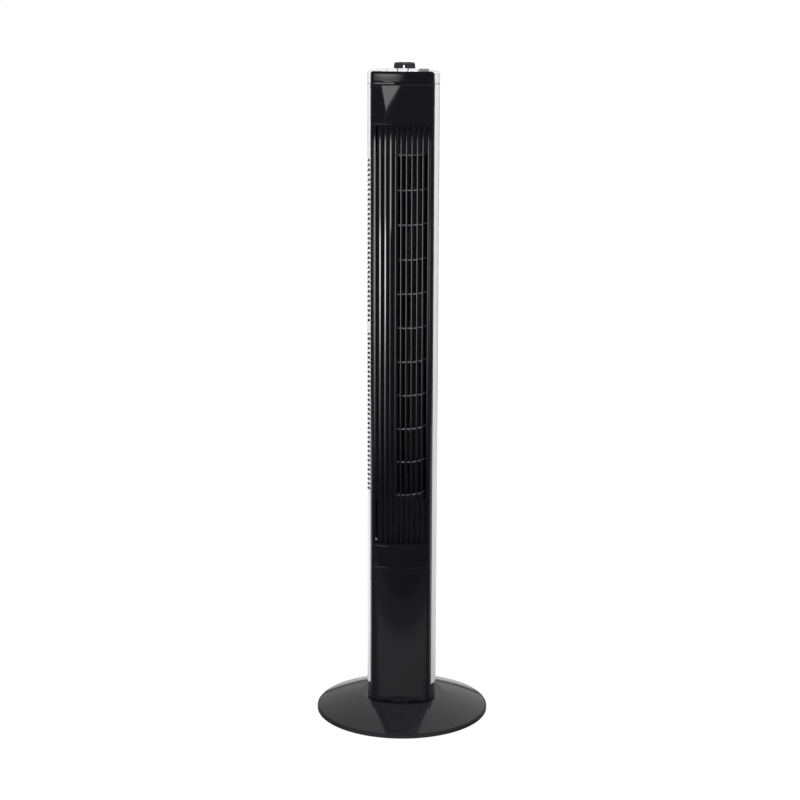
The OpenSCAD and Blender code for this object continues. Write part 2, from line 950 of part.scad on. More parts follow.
module impeller()
    color(black_satin)
        translate([wheel_x, wheel_y, wheel_bottom_z]) {
            for (s = [0 : stage_count - 1])
                translate([0, 0, s * stage_h + disc_half - bite])
                    rotate([0, 0, s * 360 / blade_count / 3])
                        linear_extrude(height = stage_h - 2 * (disc_half - bite))
                            for (k = [0 : blade_count - 1])
                                rotate(360 * k / blade_count)
                                    blade_section();
            for (s = [1 : stage_count - 1])
                tube([0, 0], wheel_r, wheel_r - 11, s * stage_h - disc_half,
                     s * stage_h + disc_half);
            difference() {
                post([0, 0], wheel_r, -disc_half, disc_half);
                post([0, 0], motor_shaft_r + 2, -9, 9);
            }
            difference() {
                post([0, 0], wheel_r, stage_h * stage_count - disc_half,
                     stage_h * stage_count + disc_half);
                post([0, 0], 4.05, 0, 1000);
            }
        }

module impeller_axle()
    color(steel) {
        post([wheel_x, wheel_y], 4, wheel_top_z - 14, duct_top_z + 10);
        post([wheel_x, wheel_y], 9, wheel_top_z - 3.4, wheel_top_z - 0.9);
    }

module impeller_hub()
    color(rubber)
        difference() {
            union() {
                post([wheel_x, wheel_y], 10.5, wheel_bottom_z - 12, wheel_bottom_z - 0.9);
                post([wheel_x, wheel_y], motor_shaft_r + 1.9, wheel_bottom_z - 1,
                     wheel_bottom_z + 3);
            }
            post([wheel_x, wheel_y], motor_shaft_r + 0.05, 0, 2000);
        }

// ---------------------------------------------------------------- motor

module motor_stator()
    color(steel)
        translate([wheel_x, wheel_y, stator_z])
            difference() {
                translate([-31, -31, 0])
                    cube([62, 62, stator_h]);
                translate([0, 0, -1])
                    cylinder(r = rotor_r + 0.5, h = stator_h + 2);
                for (a = [45 : 90 : 315])
                    post(motor_bolt_r * unit(a), 2.2, -1, stator_h + 1);
            }

module motor_windings()
    color(copper)
        for (z = [stator_z - 11.5, stator_z + stator_h])
            tube([wheel_x, wheel_y], 29.5, 22, z, z + 11.5);

// A pressed cup that closes one end of the motor and holds a bearing
module bell()
    difference() {
        cylinder(r = bell_r, h = bell_h);
        translate([0, 0, -1])
            cylinder(r = bell_r - 2, h = bell_h - 1);
        cylinder(r = 8.1, h = 60);
        for (k = [0 : 5])
            rotate([0, 0, 60 * k])
                translate([19, 0, 0])
                    cylinder(r = 4, h = 60);
        for (a = [45 : 90 : 315])
            post(motor_bolt_r * unit(a), 5, -1, 60);
    }

module motor_upper_bell()
    color(steel)
        translate([wheel_x, wheel_y, stator_z + stator_h])
            bell();

module motor_lower_bell()
    color(steel)
        translate([wheel_x, wheel_y, stator_z])
            mirror([0, 0, 1])
                bell();

module motor_bearings()
    color("#b08d57")
        for (z = [stator_z - bell_h - 1, stator_z + stator_h + bell_h - 5])
            tube([wheel_x, wheel_y], 8, motor_shaft_r + 0.06, z, z + 6);

module motor_bolts()
    color(steel)
        for (a = [45 : 90 : 315]) {
            at = [wheel_x, wheel_y] + motor_bolt_r * unit(a);
            screw_up(at, 3.6, 2.4, 1.8, stator_z, stator_h + 18);
        }

module motor_rotor()
    color(steel)
        tube([wheel_x, wheel_y], rotor_r, motor_shaft_r + 0.05, stator_z - 2,
             stator_z + stator_h + 2);

module motor_shaft()
    color(steel)
        post([wheel_x, wheel_y], motor_shaft_r, stator_z - bell_h - 8, wheel_bottom_z + 2);

// ---------------------------------------------------------------- drive and wiring

module sync_motor()
    color(steel)
        difference() {
            union() {
                post([0, crank_y], 22, sync_z, sync_z + 15);
                block([-31, crank_y - 5, sync_z], [31, crank_y + 5, sync_z + 1.5]);
            }
            post([0, crank_y], 3.2, 0, sync_z + 9);
            for (s = [-1, 1])
                post([s * 27, crank_y], 1.6, 0, 100);
        }

// Shaft, arm, pin and roller of the swing drive, at the far end of its slot
module crank()
    color(nylon) {
        arm_z = plate_top_z + 2.4;
        post([0, crank_y], 3, arm_z + 2, sync_z + 8);
        post([0, crank_y], 4.6, arm_z, arm_z + 6.5);
        block([-4, crank_y, arm_z], [4, crank_y + crank_throw, arm_z + 3]);
        post([0, crank_y + crank_throw], 4, arm_z, arm_z + 3);
        post([0, crank_y + crank_throw], roller_r, plate_bottom_z + 0.6, arm_z + 0.5);
    }

module capacitor()
    color(dark_grey) {
        block([-46, -16, floor_z + floor_h], [-29, 1, floor_z + floor_h + 26]);
        for (y = [-12, -4])
            post([-37, y], 1, floor_z + floor_h + 25, floor_z + floor_h + 31);
    }

module terminal_block()
    color(nylon)
        difference() {
            block([29, -20, floor_z + floor_h], [43, 4, floor_z + floor_h + 11]);
            for (y = [-16, -8, 0])
                post([36, y], 2.5, floor_z + floor_h + 6, 100);
        }

// Leads from the gland to the terminals, and on up behind the scroll to motor and controls
inlet_lead = [[0, 53, 95], [1, 46, 94], [10, 30, 91], [22, 12, 86], [33, -4, 79],
              [36, -8, 70], [36, -8, 62], [36, -8, 52]];
riser_lead = [[36, -16, 52], [36, -16, 62], [36, -15, 72], [38, -10, 90], [48, 1, 112], [54, 9, 138],
              [wire_x, wire_y, 170], [wire_x, wire_y, 400], [wire_x, wire_y, 700],
              [wire_x, wire_y, 1020], [53, 11, 1046], [40, 4, 1062], [32, -14, 1076],
              [30, -24, 1094]];
motor_lead = [[36, 0, 52], [36, 0, 62], [38, 6, 74], [42, 14, 100], [44, 16, 180], [41, 14, 270],
              [31, 10, 302], [22, 8, 322], [21, 8, 332], [21, 8, 345]];

module wiring()
    color("#2a2a2e") {
        sweep(smooth_path(inlet_lead, 4), 2.2, 8, [0, 0, 1]);
        sweep(smooth_path(riser_lead, 4), 1.9, 8, [1, 0, 0]);
        sweep(smooth_path(motor_lead, 4), 1.5, 8, [1, 0, 0]);
    }

// ---------------------------------------------------------------- the nodes

base_front();
base_rear();
base_weight();
base_screws();
rubber_feet();
pivot_plate();
pivot_screws();
pivot_spindle();
spindle_washer();
spindle_nut();
glide_ring();
body_floor();
foot_skirt();
front_frame();
outlet_grille();
grille_band();
lower_panel();
rear_housing();
housing_screws();
top_cap();
top_trim();
timer_unit();
switch_unit();
control_bracket();
upper_duct_plate();
lower_duct_plate();
bearing_mount();
bearing_bush();
scroll_wall();
vortex_wall();
motor_stator();
motor_windings();
motor_upper_bell();
motor_lower_bell();
motor_bearings();
motor_bolts();
capacitor();
terminal_block();
sync_motor();
cable_gland();
wiring();
impeller();
impeller_axle();
impeller_hub();
motor_rotor();
motor_shaft();
timer_knob();
knob_pointer();
timer_shaft();
key(3, silver);  // key_off
key(0, silver);  // key_low
key(1, silver);  // key_medium
key(2, silver);  // key_high
key(4, dark_grey);  // key_swing
key_spring(3);  // key_spring_off
key_spring(0);  // key_spring_low
key_spring(1);  // key_spring_medium
key_spring(2);  // key_spring_high
key_spring(4);  // key_spring_swing
crank();
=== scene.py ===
import json
import math

import bmesh
import bpy
from mathutils import Matrix, Vector


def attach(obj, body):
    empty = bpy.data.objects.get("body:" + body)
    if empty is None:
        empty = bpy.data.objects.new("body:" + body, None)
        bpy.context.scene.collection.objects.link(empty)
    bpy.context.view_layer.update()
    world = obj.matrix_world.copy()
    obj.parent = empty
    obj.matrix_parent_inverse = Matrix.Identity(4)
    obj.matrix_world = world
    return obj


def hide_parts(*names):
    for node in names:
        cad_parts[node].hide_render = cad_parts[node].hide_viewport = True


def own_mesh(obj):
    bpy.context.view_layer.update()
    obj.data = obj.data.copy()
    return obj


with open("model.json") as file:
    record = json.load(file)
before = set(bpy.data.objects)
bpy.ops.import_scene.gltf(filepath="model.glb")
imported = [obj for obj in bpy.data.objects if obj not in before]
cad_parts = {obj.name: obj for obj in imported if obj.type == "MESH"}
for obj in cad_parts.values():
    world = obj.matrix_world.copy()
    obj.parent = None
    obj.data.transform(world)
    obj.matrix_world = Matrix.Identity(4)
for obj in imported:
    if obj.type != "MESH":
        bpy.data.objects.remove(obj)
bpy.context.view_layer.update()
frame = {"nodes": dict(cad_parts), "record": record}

scene = bpy.context.scene
nodes = frame["nodes"]
body_of = {n: b for b, ns in frame["record"]["behaviour"]["bodies"].items() for n in ns}
slot_of = {s["node"]: s["material_slot"] for s in frame["record"]["subparts"]}
MM = 0.001

# ------------------------------------------------------------------ camera
CAM_AZIMUTH = math.radians(3.5)
CAM_TILT = math.radians(12.747)
CAM_ROLL = math.radians(0.2)
CAM_DISTANCE = 3.389
CAM_HEIGHT = 1.346
CAM_LENS = 88.1
CAM_SHIFT = -0.0038

cam_data = bpy.data.cameras.new("camera")
cam_data.lens = CAM_LENS
cam_data.sensor_width = 36
cam_data.shift_x = CAM_SHIFT
cam = bpy.data.objects.new("camera", cam_data)
scene.collection.objects.link(cam)
cam.location = (CAM_DISTANCE * math.sin(CAM_AZIMUTH), -CAM_DISTANCE * math.cos(CAM_AZIMUTH), CAM_HEIGHT)
cam.rotation_euler = (Matrix.Rotation(CAM_AZIMUTH, 3, "Z")
                      @ Matrix.Rotation(math.pi / 2 - CAM_TILT, 3, "X")
                      @ Matrix.Rotation(CAM_ROLL, 3, "Z")).to_euler()
scene.camera = cam


# ------------------------------------------------------------------ materials
class Shader:
    """A node material with a Principled shader, built with few words."""

    def __init__(self, name, color, rough, **sockets):
        self.mat = bpy.data.materials.new(name)
        self.mat.use_nodes = True
        self.tree = self.mat.node_tree
        self.bsdf = self.tree.nodes["Principled BSDF"]
        self.bsdf.inputs["Base Color"].default_value = (*color, 1)
        self.bsdf.inputs["Roughness"].default_value = rough
        for k, v in sockets.items():
            self.bsdf.inputs[k.replace("_", " ")].default_value = v
        self.coord = self.tree.nodes.new("ShaderNodeTexCoord").outputs["Object"]
        self.height = None

    def node(self, kind, **values):
        n = self.tree.nodes.new(kind)
        for k, v in values.items():
            if k in n.inputs:
                n.inputs[k].default_value = v
            else:
                setattr(n, k, v)
        return n

    def link(self, a, b):
        self.tree.links.new(a, b)

    def noise(self, scale, detail=2, stretch=(1, 1, 1), rough=0.5):
        m = self.node("ShaderNodeMapping")
        m.inputs["Scale"].default_value = [scale * s for s in stretch]
        self.link(self.coord, m.inputs["Vector"])
        n = self.node("ShaderNodeTexNoise", Detail=detail, Scale=1.0, Roughness=rough)
        self.link(m.outputs["Vector"], n.inputs["Vector"])
        return n.outputs["Fac"]

    def spread(self, fac, low, high, start=0.3, stop=0.7, kind="LINEAR"):
        r = self.node("ShaderNodeMapRange", interpolation_type=kind)
        r.inputs["From Min"].default_value = start
        r.inputs["From Max"].default_value = stop
        r.inputs["To Min"].default_value = low
        r.inputs["To Max"].default_value = high
        self.link(fac, r.inputs["Value"])
        return r.outputs["Result"]

    def math(self, kind, *values):
        n = self.node("ShaderNodeMath", operation=kind)
        for k, v in enumerate(values):
            if isinstance(v, (int, float)):
                n.inputs[k].default_value = v
            else:
                self.link(v, n.inputs[k])
        return n.outputs[0]

    def rough(self, fac, low, high):
        self.link(self.spread(fac, low, high), self.bsdf.inputs["Roughness"])

    def tint(self, fac, a, b, start=0.3, stop=0.7):
        mix = self.node("ShaderNodeMix", data_type="RGBA")
        mix.inputs["A"].default_value = (*a, 1)
        mix.inputs["B"].default_value = (*b, 1)
        self.link(self.spread(fac, 0, 1, start, stop), mix.inputs["Factor"])
        self.link(mix.outputs["Result"], self.bsdf.inputs["Base Color"])

    def bump(self, fac, strength, distance):
        b = self.node("ShaderNodeBump", Strength=strength, Distance=distance)
        self.link(fac, b.inputs["Height"])
        if self.height:
            self.link(self.height, b.inputs["Normal"])
        self.height = b.outputs["Normal"]
        self.link(self.height, self.bsdf.inputs["Normal"])


def gloss_black(name, color, rough=0.07):
    s = Shader(name, color, rough, Specular_IOR_Level=0.5)
    s.rough(s.noise(14, 3, (1, 1, 0.5)), rough * 0.8, rough * 1.5)
    s.tint(s.noise(300, 2), color, tuple(c * 1.25 for c in color))
    s.bump(s.noise(60, 1), 0.003, 0.001)
    s.bump(s.noise(900, 2, (1, 1, 0.03)), 0.003, 0.0002)
    return s.mat


def satin_black(name, color=(0.022, 0.022, 0.024), rough=0.35, grain=2600):
    s = Shader(name, color, rough)
    s.rough(s.noise(25, 3), rough * 0.88, rough * 1.15)
    s.tint(s.noise(500, 2), color, tuple(c * 1.3 for c in color))
    s.bump(s.noise(grain, 2), 0.04, 0.0001)
    return s.mat


# Height of the lowest stage disc of the impeller, and from one disc to the next, in metres
STAGE_FIRST, STAGE_PITCH = 0.4128, 0.06025


def wheel_black(name, color=(0.008, 0.008, 0.009), rim_highlight_color=(0.7, 0.7, 0.72)):
    """Black moulding with pale bands painted at the edges of its stage discs, a painted highlight for the
    light those edges catch.
    """
    s = Shader(name, color, 0.3)
    s.rough(s.noise(25, 3), 0.26, 0.34)
    height = s.node("ShaderNodeSeparateXYZ")
    s.link(s.coord, height.inputs[0])
    stage = s.math("MULTIPLY_ADD", height.outputs["Z"], 1 / STAGE_PITCH, -STAGE_FIRST / STAGE_PITCH)
    # Painted highlight: a pale band is tinted onto each stage disc's edge, where light would catch it
    s.tint(s.math("PINGPONG", stage, 0.5), rim_highlight_color, color, 0.013, 0.015)
    s.bump(s.noise(1800, 2), 0.05, 0.0001)
    return s.mat


def silver_paint(name, color=(0.6, 0.6, 0.61)):
    s = Shader(name, color, 0.36, Metallic=0.15)
    s.rough(s.noise(40, 3), 0.32, 0.42)
    s.tint(s.noise(5200, 1), tuple(c * 0.95 for c in color), tuple(min(1, c * 1.05) for c in color))
    s.bump(s.noise(2400, 2), 0.03, 0.0001)
    return s.mat


def metal(name, color, rough, lay=(1, 1, 1), grain=700):
    s = Shader(name, color, rough, Metallic=1.0)
    s.rough(s.noise(grain, 3, lay), rough * 0.7, rough * 1.35)
    s.tint(s.noise(60, 3), tuple(c * 0.86 for c in color), color)
    s.bump(s.noise(grain * 2, 2, lay), 0.06, 0.0002)
    return s.mat


def soft(name, color, rough):
    s = Shader(name, color, rough)
    s.rough(s.noise(60, 3), rough * 0.9, min(1, rough * 1.1))
    s.tint(s.noise(220, 3), color, tuple(c * 1.35 for c in color))
    s.bump(s.noise(1800, 3), 0.2, 0.0002)
    return s.mat


MATS = {
    "base_gloss": gloss_black("base_gloss", (0.01, 0.01, 0.011), 0.1),
    "front_gloss": gloss_black("front_gloss", (0.005, 0.005, 0.006), 0.02),
    "panel_satin": satin_black("panel_satin", (0.005, 0.005, 0.006), 0.06, 1400),
    "silver_paint": silver_paint("silver_paint"),
    "key_dark": satin_black("key_dark", (0.09, 0.09, 0.1), 0.34),
    "black_plastic": satin_black("black_plastic", (0.013, 0.013, 0.015)),
    "impeller_plastic": wheel_black("impeller_plastic"),
    "nylon": soft("nylon", (0.72, 0.7, 0.62), 0.45),
    "white_ink": soft("white_ink", (0.75, 0.75, 0.75), 0.5),
    "steel_plain": metal("steel_plain", (0.58, 0.59, 0.61), 0.3),
    "zinc_sheet": metal("zinc_sheet", (0.66, 0.67, 0.69), 0.36, (1, 1, 0.2), 300),
    "spring_wire": metal("spring_wire", (0.6, 0.61, 0.63), 0.24),
    "bronze": metal("bronze", (0.62, 0.42, 0.2), 0.4),
    "windings": metal("windings", (0.6, 0.27, 0.1), 0.35, (1, 1, 8), 300),
    "black_acetal": satin_black("black_acetal", (0.03, 0.03, 0.032), 0.4),
    "rubber_black": soft("rubber_black", (0.018, 0.018, 0.018), 0.75),
    "wire_sleeve": soft("wire_sleeve", (0.03, 0.03, 0.033), 0.5),
    "capacitor_case": satin_black("capacitor_case", (0.07, 0.07, 0.08), 0.4),
}

# ------------------------------------------------------------------ plan of the column, in millimetres
DECK, CAP, GRILLE_TOP, GRILLE_BOTTOM = 1157.0, 1137.5, 1069.0, 327.0
BAND_BOTTOM, PANEL_BOTTOM, FRONT_BOTTOM, HOUSING_BOTTOM = 287.0, 40.5, 32.6, 63.0
GAP, CAP_SEAM = 0.2, 0.8
BODY_R, SIDE_Y, CORNER_R, HOUSING_FRONT = 61.5, -24.0, 26.0, -41.5
CORNER_X = BODY_R - CORNER_R
FRONT_R, FRONT_HALF, TRIM_R = 125.0, 53.75, 9.0
FRONT_CY = -62.0 + FRONT_R
TRIM_X = FRONT_HALF - TRIM_R
TRIM_Y = FRONT_CY - math.sqrt((FRONT_R - TRIM_R) ** 2 - TRIM_X ** 2)
FRONT_ANGLE = math.degrees(math.asin(TRIM_X / (FRONT_R - TRIM_R)))


def arc(cx, cy, r, a0, a1, step=1.5):
    n = max(2, round(abs(a1 - a0) / step))
    angles = [math.radians(a0 + (a1 - a0) * i / n) for i in range(n + 1)]
    return [(cx + r * math.cos(a), cy + r * math.sin(a)) for a in angles]


def joined(*runs):
    path = []
    for run in runs:
        for p in run:
            if not path or math.dist(p, path[-1]) > 0.01:
                path.append(p)
    return path


def front_outline(inset=0.0):
    """The black front seen from above, left return to right return."""
    left = arc(-TRIM_X, TRIM_Y, TRIM_R - inset, 180, 270 - FRONT_ANGLE, 6)
    mid = arc(0, FRONT_CY, FRONT_R - inset, 270 - FRONT_ANGLE, 270 + FRONT_ANGLE, 1.0)
    right = [(-x, y) for x, y in reversed(left)]
    end = FRONT_HALF - inset
    y_end = HOUSING_FRONT - GAP
    return joined([(-end, y_end)], left, mid, right, [(end, y_end)])


def front_arc(inset, half_x):
    a = math.degrees(math.asin(half_x / FRONT_R))
    return arc(0, FRONT_CY, FRONT_R - inset, 270 - a, 270 + a, 1.0)


def column_outline(inset):
    """The housing seen from above, from its right front edge round the back to the left."""
    r = CORNER_R - inset
    a0 = math.degrees(math.asin((HOUSING_FRONT - SIDE_Y) / r))
    right = arc(CORNER_X, SIDE_Y, r, a0, 0, abs(a0) / 12)
    side = [(BODY_R - inset, SIDE_Y * (1 - k / 6)) for k in range(7)]
    half = joined(right, side)
    back = arc(0, 0, BODY_R - inset, 0, 180, 2)
    return joined(half, back, [(-x, y) for x, y in reversed(half)])


# ------------------------------------------------------------------ mesh helpers
def new_piece(name, verts, faces, slot, body, replaced=()):
    """A visible piece from corners in millimetres, riding on a body in place of the replaced nodes."""
    mesh = bpy.data.meshes.new(name)
    mesh.from_pydata([tuple(c * MM for c in v) for v in verts], [], faces)
    mesh.validate()
    for poly in mesh.polygons:
        poly.use_smooth = True
    mesh.materials.append(MATS[slot])
    obj = bpy.data.objects.new(name, mesh)
    scene.collection.objects.link(obj)
    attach(obj, body)
    if replaced:
        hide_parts(*replaced)
    return obj


def solidify(obj, thick_mm):
    m = obj.modifiers.new("wall", "SOLIDIFY")
    m.thickness = thick_mm * MM
    m.offset = -1
    m.use_even_offset = True
    m.use_quality_normals = True


def bevel(obj, width_mm, segments=3, angle=40):
    m = obj.modifiers.new("edges", "BEVEL")
    m.width = width_mm * MM
    m.segments = segments
    m.limit_method = "ANGLE"
    m.angle_limit = math.radians(angle)
    m.use_clamp_overlap = True


def weighted(obj):
    m = obj.modifiers.new("normals", "WEIGHTED_NORMAL")
    m.keep_sharp = True


def levels(marks, pitch=40.0, guard=1.6):
    """Row heights from mark to mark, with a close row beside every mark to keep the shading flat."""
    out = [marks[0]]
    for a, b in zip(marks, marks[1:]):
        n = max(1, round((b - a) / pitch))
        inner = [a + (b - a) * k / n for k in range(1, n)]
        out += [a + guard, *inner, b - guard, b] if guard else [*inner, b]
    return out


def grid(outline, zs, skip=None):
    """Upright sheet over a plan line; skip(x, y, z) of a cell's middle leaves a hole."""
    verts = [(x, y, z) for z in zs for x, y in outline]
    w = len(outline)
    faces = []
    for j in range(len(zs) - 1):
        for i in range(w - 1):
            mx = (outline[i][0] + outline[i + 1][0]) / 2
            my = (outline[i][1] + outline[i + 1][1]) / 2
            if skip and skip(mx, my, (zs[j] + zs[j + 1]) / 2):
                continue
            a = j * w + i
            faces.append((a, a + 1, a + w + 1, a + w))
    return verts, faces


def drop_loose(obj):
    """Take away the corners that the holes of a grid leave over."""
    bm = bmesh.new()
    bm.from_mesh(obj.data)
    bmesh.ops.delete(bm, geom=[v for v in bm.verts if not v.link_faces], context="VERTS")
    bm.to_mesh(obj.data)
    bm.free()


def flat_shaded(obj):
    for face in obj.data.polygons:
        face.use_smooth = False


def shell(name, node, slot, outline, zs, thick, edge):
    obj = new_piece(name, *grid(outline, zs), slot, "tower", [node])
    solidify(obj, thick)
    bevel(obj, edge)
    weighted(obj)


# ------------------------------------------------------------------ black front
FRONT_WALL = 3.0
OPENING_X = TRIM_X * FRONT_R / (FRONT_R - TRIM_R)


def in_opening(x, y, z):
    return abs(x) < OPENING_X and PANEL_BOTTOM < z < GRILLE_TOP


frame_levels = levels([FRONT_BOTTOM, PANEL_BOTTOM, GRILLE_TOP, CAP - CAP_SEAM])
front_frame = new_piece("front_frame_skin", *grid(front_outline(), frame_levels, in_opening),
                        "front_gloss", "tower", ["front_frame"])
drop_loose(front_frame)
solidify(front_frame, FRONT_WALL)
weighted(front_frame)
shell("lower_panel_skin", "lower_panel", "panel_satin", front_arc(0.25, 48.0),
      levels([PANEL_BOTTOM + GAP, BAND_BOTTOM - GAP]), 2.6, 0.5)
shell("grille_band_skin", "grille_band", "front_gloss", front_arc(0.35, 48.0),
      levels([BAND_BOTTOM + GAP, GRILLE_BOTTOM - GAP]), 2.5, 0.5)


def front_y(x):
    return FRONT_CY - math.sqrt(FRONT_R ** 2 - x * x)


BAR_COUNT, BAR_SPAN, BAR_SINK = 11, 92.4, 0.8
BAR_HALF, NOSE_HALF, NOSE_BEVEL = 1.6, 0.75, 0.35
BAR_TAIL_HALF, BAR_DEPTH, BAR_CLEAR = 1.15, 11.0, 0.3
RAIL_H, RAIL_DEPTH = 3.4, 8.8


def louvre():
    """Upright bars whose flat noses follow the skin, between two bevels."""
    verts, faces = [], []
    zs = levels([GRILLE_BOTTOM + GAP + BAR_CLEAR, GRILLE_TOP - GAP - BAR_CLEAR], 60)
    for k in range(BAR_COUNT):
        x0 = (k - (BAR_COUNT - 1) / 2) * BAR_SPAN / (BAR_COUNT - 1)
        y0 = front_y(x0) + BAR_SINK
        turn = NOSE_HALF * x0 / math.sqrt(FRONT_R ** 2 - x0 ** 2)
        section = ((-BAR_HALF, NOSE_BEVEL - turn), (-NOSE_HALF, -turn), (NOSE_HALF, turn),
                   (BAR_HALF, NOSE_BEVEL + turn), (BAR_TAIL_HALF, BAR_DEPTH), (-BAR_TAIL_HALF, BAR_DEPTH))
        base, w = len(verts), len(section)
        verts += [(x0 + u, y0 + v, z) for z in zs for u, v in section]
        for j in range(len(zs) - 1):
            for i in range(w):
                a, b = base + j * w + i, base + j * w + (i + 1) % w
                faces.append((a, b, b + w, a + w))
        faces.append(tuple(base + i for i in reversed(range(w))))
        faces.append(tuple(base + (len(zs) - 1) * w + i for i in range(w)))
    return verts, faces


flat_shaded(new_piece("louvre_bars", *louvre(), "front_gloss", "tower", ["outlet_grille"]))
for tag, z in (("low", GRILLE_BOTTOM + GAP), ("high", GRILLE_TOP - GAP - RAIL_H)):
    rail = new_piece("louvre_rail_" + tag, *grid(front_arc(1.6, 47.7), [z, z + RAIL_H]),
                     "front_gloss", "tower")
    solidify(rail, RAIL_DEPTH)
    flat_shaded(rail)

# ------------------------------------------------------------------ silver housing with its slots
SLOT_PITCH, SLOT_H, SLOT_COUNT = 8.43, 4.4, 34
SLOT_BANKS = (424.5, 727.3)
SLOT_FRONT = -40.3
RIB = 2.1
SLOT_ANGLES = (180, 150, 120, 92, 64)
SIDE_STEP = -12.0


def slotted_outline():
    """Housing outline with a point exactly on every slot's end."""
    deg = math.degrees(RIB / BODY_R)
    r = CORNER_R
    a0 = math.degrees(math.asin((HOUSING_FRONT - SIDE_Y) / r))
    a_slot = math.degrees(math.asin((SLOT_FRONT - SIDE_Y) / r))
    right = joined(arc(CORNER_X, SIDE_Y, r, a0, 0, 4), [(BODY_R, SIDE_STEP)])
    marks = [0.0, 30.0]
    for hi, lo in reversed(list(zip(SLOT_ANGLES, SLOT_ANGLES[1:]))):
        marks += [lo + deg, hi - deg]
    marks = sorted(set(marks) | {180.0})
    back = joined(*[arc(0, 0, BODY_R, a, b, 2.2) for a, b in zip(marks, marks[1:])])
    left = joined([(-BODY_R, -RIB), (-BODY_R, SIDE_STEP), (-BODY_R, SIDE_Y)],
                  arc(-CORNER_X, SIDE_Y, r, 180, 180 - a_slot, 4),
                  arc(-CORNER_X, SIDE_Y, r, 180 - a_slot, 180 - a0, 2))
    return joined(right, back, left)


def in_slot(x, y, z):
    if not any(b <= z <= b + (SLOT_COUNT - 1) * SLOT_PITCH + SLOT_H for b in SLOT_BANKS):
        return False
    bank = max(b for b in SLOT_BANKS if b <= z)
    if (z - bank) % SLOT_PITCH > SLOT_H:
        return False
    if y < -RIB:
        return x < 0 and y > SLOT_FRONT
    a = math.degrees(math.atan2(y, x))
    deg = math.degrees(RIB / BODY_R)
    return any(lo + deg < a < hi - deg for hi, lo in zip(SLOT_ANGLES, SLOT_ANGLES[1:]))


def housing_levels():
    marks = {HOUSING_BOTTOM, CAP - CAP_SEAM}
    for b in SLOT_BANKS:
        for k in range(SLOT_COUNT):
            marks |= {round(b + k * SLOT_PITCH, 4), round(b + k * SLOT_PITCH + SLOT_H, 4)}
    return levels(sorted(marks), 30, 0)


def drill(bm, at, r, depth):
    """Add a round bar along Y to a cutter, which isn't part of the object."""
    turn = Vector((0, 0, 1)).rotation_difference(Vector((0, 1, 0))).to_matrix().to_4x4()
    bmesh.ops.create_cone(bm, cap_ends=True, segments=32, radius1=r * MM, radius2=r * MM, depth=depth * MM,
                          matrix=Matrix.Translation([c * MM for c in at]) @ turn)


housing = new_piece("housing_skin", *grid(slotted_outline(), housing_levels(), in_slot),
                    "silver_paint", "tower", ["rear_housing"])
drop_loose(housing)
# The housing is moulded black and painted outside. The black inside and on the slot edges is also painted
# shade that darkens the slots
housing.data.materials.append(MATS["black_plastic"])
solidify(housing, 2.5)
housing.modifiers["wall"].material_offset = 1
housing.modifiers["wall"].material_offset_rim = 1
SCREW_LEVELS, SCREW_X, SCREW_HOLE_R = (75.0, 310.0, 1088.0), 46.0, 3.3
CORD_LEVEL, CORD_HOLE_R = 95.0, 6.5
bm = bmesh.new()
for x in (-SCREW_X, SCREW_X):
    for z in SCREW_LEVELS:
        drill(bm, (x, 45, z), SCREW_HOLE_R, 40)
drill(bm, (0, 60, CORD_LEVEL), CORD_HOLE_R, 30)
cut_mesh = bpy.data.meshes.new("housing_cuts")
bm.to_mesh(cut_mesh)
bm.free()
cutter = bpy.data.objects.new("housing_cuts", cut_mesh)
scene.collection.objects.link(cutter)
cut = housing.modifiers.new("holes", "BOOLEAN")
cut.object = cutter
cut.operation = "DIFFERENCE"
cut.solver = "EXACT"
bpy.context.view_layer.update()
drilled = bpy.data.meshes.new_from_object(housing.evaluated_get(bpy.context.evaluated_depsgraph_get()))
housing.modifiers.clear()
housing.data = drilled
bpy.data.objects.remove(cutter)
bevel(housing, 0.4, 2)
weighted(housing)


# ------------------------------------------------------------------ top trim and cap
TRIM_TOP_R, TRIM_LIP, TRIM_STEP = 4.5, DECK + 1.5, 1.2


def trim_top(x):
    """Height of the strip's upper edge, which rounds down at its two ends."""
    run = max(0.0, abs(x) - (FRONT_HALF - TRIM_TOP_R))
    return TRIM_LIP - TRIM_TOP_R + math.sqrt(max(0.0, TRIM_TOP_R ** 2 - run ** 2))


def trim_skin():
    """Black strip round the front of the top."""
    coarse = front_outline()
    outline = []
    for a, b in zip(coarse, coarse[1:]):
        n = max(1, math.ceil(math.dist(a, b) / TRIM_STEP))
        outline += [(a[0] + (b[0] - a[0]) * k / n, a[1] + (b[1] - a[1]) * k / n) for k in range(n)]
    outline.append(coarse[-1])
    rows = 4
    verts = [(x, y, CAP + (trim_top(x) - CAP) * j / rows) for j in range(rows + 1) for x, y in outline]
    w = len(outline)
    faces = [(j * w + i, j * w + i + 1, (j + 1) * w + i + 1, (j + 1) * w + i)
             for j in range(rows) for i in range(w - 1)]
    return verts, faces


trim = new_piece("top_trim_skin", *trim_skin(), "front_gloss", "tower", ["top_trim"])
solidify(trim, FRONT_WALL)
bevel(trim, 0.7, 3, 50)
weighted(trim)

KEY_PITCH, KEY_Y, KEY_LEN = 17.8, -36.0, 19.6
KEY_SIDE_GAP, KEY_END_GAP = 0.3, 0.4
KNOB_Y, SHAFT_HOLE_R, DECK_EDGE_R = 12.0, 4.0, 2.6


